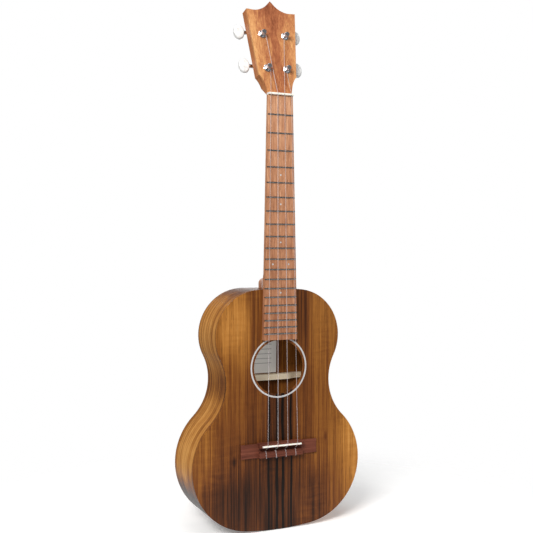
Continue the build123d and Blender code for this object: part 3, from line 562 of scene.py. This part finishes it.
def button_mesh(name):
    """Pillow-shaped oval button: a full rim and two shallow dished faces, in line with its shaft."""
    low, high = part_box(f"button_{name}")
    centre = (low + high) / 2
    half_width = (high.x - low.x) / 2
    tilt = Matrix.Rotation(BUTTON_TILT, 3, "X")
    bm = bmesh.new()
    loops = []
    for step in range(1, BUTTON_STEPS):
        angle = pi * (step / BUTTON_STEPS - 0.5)
        reach = cos(angle) ** BUTTON_SQUARENESS
        dish = BUTTON_DISH * (1 - reach) if abs(sin(angle)) > DISH_FROM else 0.0
        depth = sin(angle) * (BUTTON_HALF_T - dish)
        loop = []
        for index in range(BUTTON_AROUND):
            turn = 2 * pi * index / BUTTON_AROUND
            across = half_width * reach * cos(turn)
            up = BUTTON_HALF_HEIGHT * reach * sin(turn)
            loop.append(bm.verts.new(centre + tilt @ Vector((across, depth, up))))
        loops.append(loop)
    for lower, upper in zip(loops, loops[1:]):
        for index in range(BUTTON_AROUND):
            after = (index + 1) % BUTTON_AROUND
            bm.faces.new((lower[index], lower[after], upper[after], upper[index]))
    for loop in (loops[0], loops[-1]):
        bm.faces.new(loop)
    bmesh.ops.recalc_face_normals(bm, faces=bm.faces)
    mesh = bpy.data.meshes.new(f"tuning_button_{name}")
    bm.to_mesh(mesh)
    bm.free()
    mesh.shade_smooth()
    obj = bpy.data.objects.new(f"tuning_button_{name}", mesh)
    scene.collection.objects.link(obj)
    return obj


for name in STRINGS:
    button = button_mesh(name)
    dress(button, "pearloid")
    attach(button, f"knob_{name}")
    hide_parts(f"button_{name}")


# ---------------------------------------------------------------- floor, light and camera

FLOOR_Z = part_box("soundboard")[0].z
FLOOR_HALF = 800 * MM
FLOOR_GAP = 0.6 * MM
FLOOR_FADE = (140 * MM, 500 * MM)        # where the floor begins to clear and is gone


def build_floor():
    """A pale floor that fades into the white around it."""
    mesh = bpy.data.meshes.new("studio_floor")
    bm = bmesh.new()
    corners = [bm.verts.new((x * FLOOR_HALF, y * FLOOR_HALF, FLOOR_Z - FLOOR_GAP))
               for x, y in ((-1, -1), (1, -1), (1, 1), (-1, 1))]
    bm.faces.new(corners)
    bm.to_mesh(mesh)
    bm.free()
    floor = bpy.data.objects.new("studio_floor", mesh)
    scene.collection.objects.link(floor)
    shader = Shader("pale_floor")
    speckle = shader.noise(shader.stretched((40.0, 40.0, 40.0)), 2.0)
    x, y, _z = shader.axes
    reach = shader.length(shader.vector(x, y, 0.0))
    floor.data.materials.append(shader.finish(
        Base_Color=shader.mix(speckle, (0.90, 0.90, 0.90), (0.94, 0.94, 0.94)),
        Roughness=shader.span(speckle, 0.3, 0.7, 0.85, 0.95),
        Emission_Color=shader.mix(speckle, (0.97, 0.97, 0.97), (1.0, 1.0, 1.0)),
        Emission_Strength=0.22,
        Alpha=shader.span(reach, *FLOOR_FADE, 1.0, 0.0, smooth=True),
    ))


WHITE = (1.0, 1.0, 1.0)
MIDDLE = (0.0, 0.03, -0.20)              # what the studio lights aim at
AT_HOLE = (0.0, 0.004, HOLE_Z)           # just in front of the soundhole
BEHIND_HOLE = (0.0, 0.07, HOLE_Z)

# name, place, target, size (metres), power (watts) and colour; the last one shines into the body
LIGHTS = [
    ("key_left", (-1.15, -1.25, 0.75), MIDDLE, 0.7, 43.0, (1.0, 0.985, 0.96)),
    ("fill_right", (1.5, -1.5, 0.1), MIDDLE, 0.9, 6.0, (0.97, 0.985, 1.0)),
    ("top_soft", (-0.2, -0.5, 1.5), MIDDLE, 1.4, 16.0, WHITE),
    ("back_soft", (0.5, 1.6, -0.35), MIDDLE, 1.0, 8.0, WHITE),
    ("inside_glow", AT_HOLE, BEHIND_HOLE, 0.045, 0.017, WHITE),
]
AMBIENT = 0.16                           # how brightly the white background lights the object


def area_light(name, place, target, size, power, colour):
    data = bpy.data.lights.new(name, "AREA")
    data.size = size
    data.energy = power
    data.color = colour
    light = bpy.data.objects.new(name, data)
    light.location = place
    light.rotation_euler = (Vector(target) - Vector(place)).to_track_quat("-Z", "Y").to_euler()
    scene.collection.objects.link(light)


def build_world():
    """White to the camera, and much dimmer as a source of light."""
    world = bpy.data.worlds.new("white_studio")
    world.use_nodes = True
    tree = world.node_tree
    background = tree.nodes["Background"]
    path = tree.nodes.new("ShaderNodeLightPath")
    level = tree.nodes.new("ShaderNodeMapRange")
    level.inputs["To Min"].default_value = AMBIENT
    level.inputs["To Max"].default_value = 1.0
    tree.links.new(path.outputs["Is Camera Ray"], level.inputs["Value"])
    tree.links.new(level.outputs[0], background.inputs["Strength"])
    background.inputs["Color"].default_value = (*WHITE, 1.0)
    scene.world = world


CAMERA_PLACE = Vector((-0.4532, -0.9693, -0.19335))
CAMERA_YAW = radians(24.48)
CAMERA_PITCH = radians(-0.98)
CAMERA_LENS = 58.16                      # millimetres, on a 36 mm sensor
CAMERA_SHIFT = (-0.0104, -0.0009)


def build_camera():
    data = bpy.data.cameras.new("photo_view")
    data.sensor_width = 36.0
    data.lens = CAMERA_LENS
    data.shift_x, data.shift_y = CAMERA_SHIFT
    data.clip_start, data.clip_end = 0.02, 60.0
    camera = bpy.data.objects.new("photo_view", data)
    level = cos(CAMERA_PITCH)
    look = Vector((sin(CAMERA_YAW) * level, cos(CAMERA_YAW) * level, sin(CAMERA_PITCH)))
    camera.location = CAMERA_PLACE
    camera.rotation_euler = look.to_track_quat("-Z", "Y").to_euler()
    scene.collection.objects.link(camera)
    scene.camera = camera


build_floor()
for light in LIGHTS:
    area_light(*light)
build_world()
build_camera()
scene.view_settings.view_transform = "Standard"
